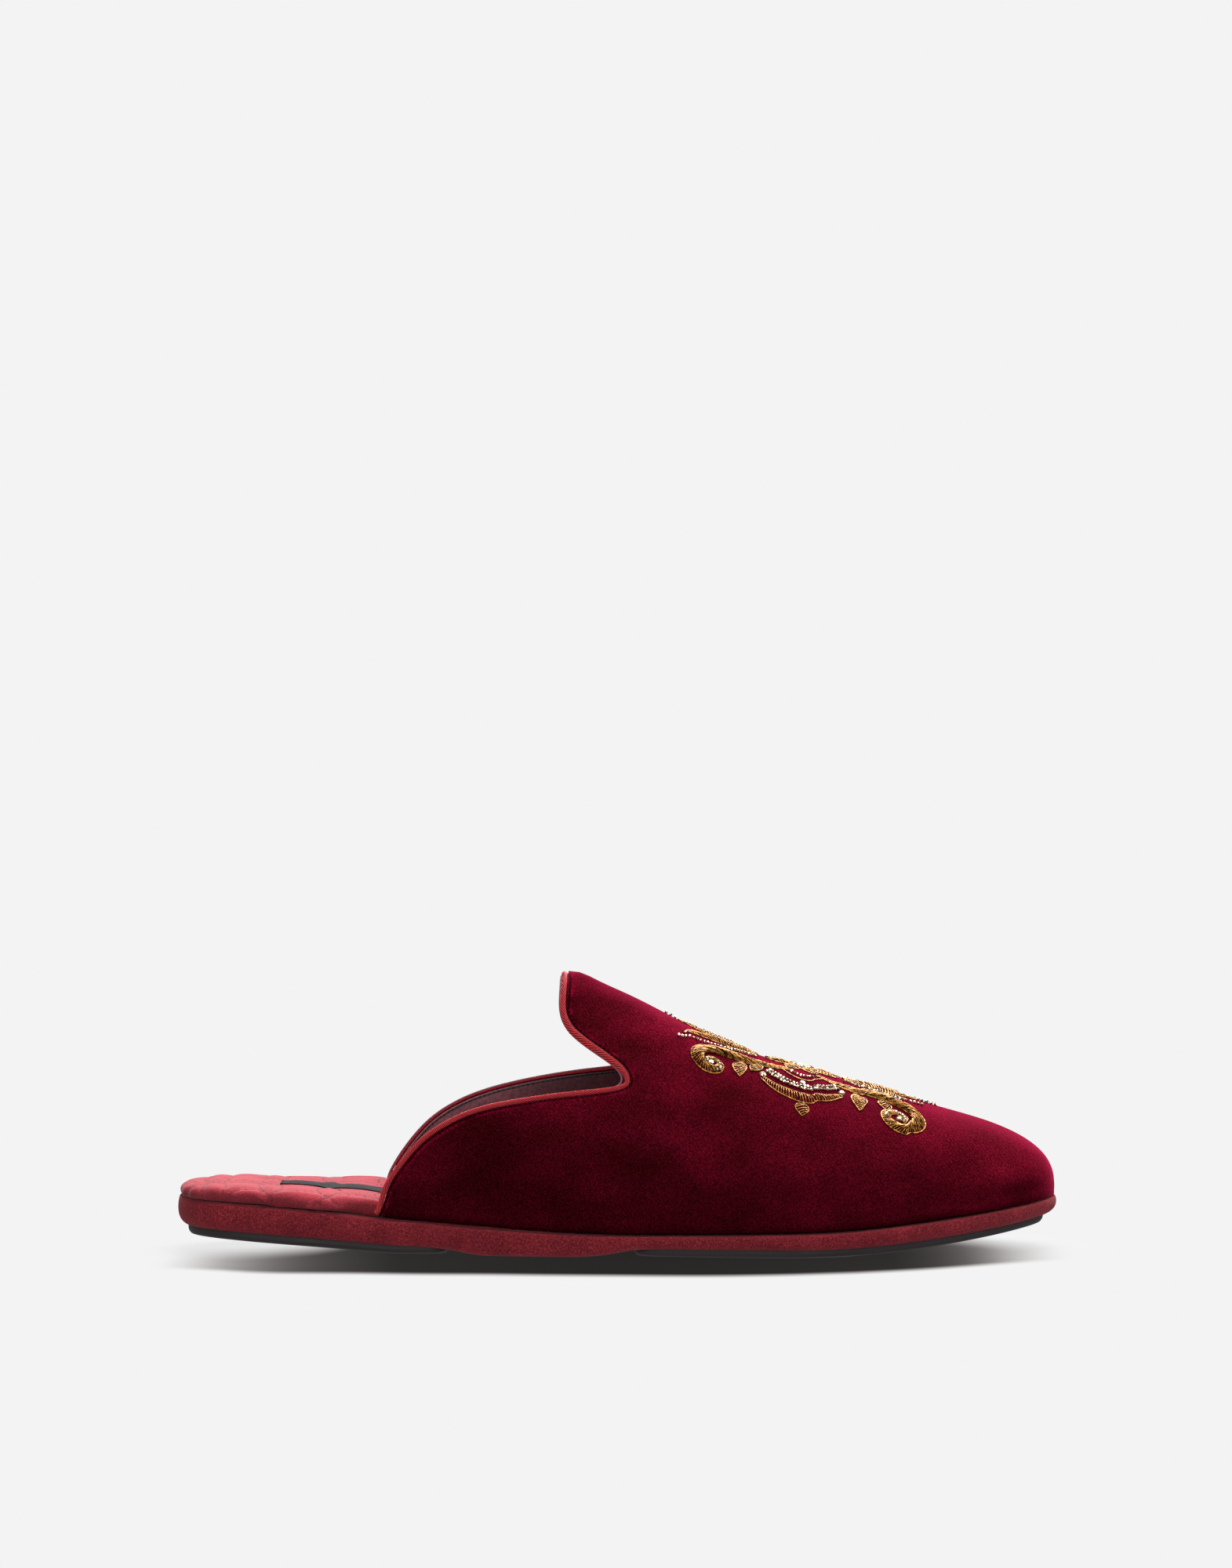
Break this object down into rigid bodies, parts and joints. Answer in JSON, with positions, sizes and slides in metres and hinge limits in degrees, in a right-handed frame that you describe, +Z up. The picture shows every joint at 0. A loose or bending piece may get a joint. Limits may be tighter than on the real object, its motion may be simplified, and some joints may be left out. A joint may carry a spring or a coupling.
{
  "type": "backless velvet slipper",
  "caption": "Backless velvet slipper for the right foot, with a corded collar, a padded quilted insole and a suede-covered sole on rubber pads.",
  "frame": {"origin": "On the floor, under the middle of the shoe's bounding box.", "axes": "+X runs from the heel to the toe, +Y to the inner side of the right foot, +Z up."},
  "size_m": [0.286, 0.0989, 0.09],
  "materials": {
    "rubber": "matt dark brown rubber",
    "suede": "red suede with a short nap",
    "insole_velvet": "quilted red velvet over a soft pad",
    "velvet": "deep burgundy velvet with a crimson sheen",
    "piping": "ribbed red twill cord",
    "lining": "smooth mauve-brown lining",
    "gold_thread": "coiled gold wire thread",
    "beads": "small faceted antique beads"
  },
  "bodies": {
    "root": {"outsole_heel": "rubber", "outsole_forefoot": "rubber", "midsole": "suede", "insole": "insole_velvet", "upper": "velvet", "collar_piping": "piping"}
  },
  "joints": []
}
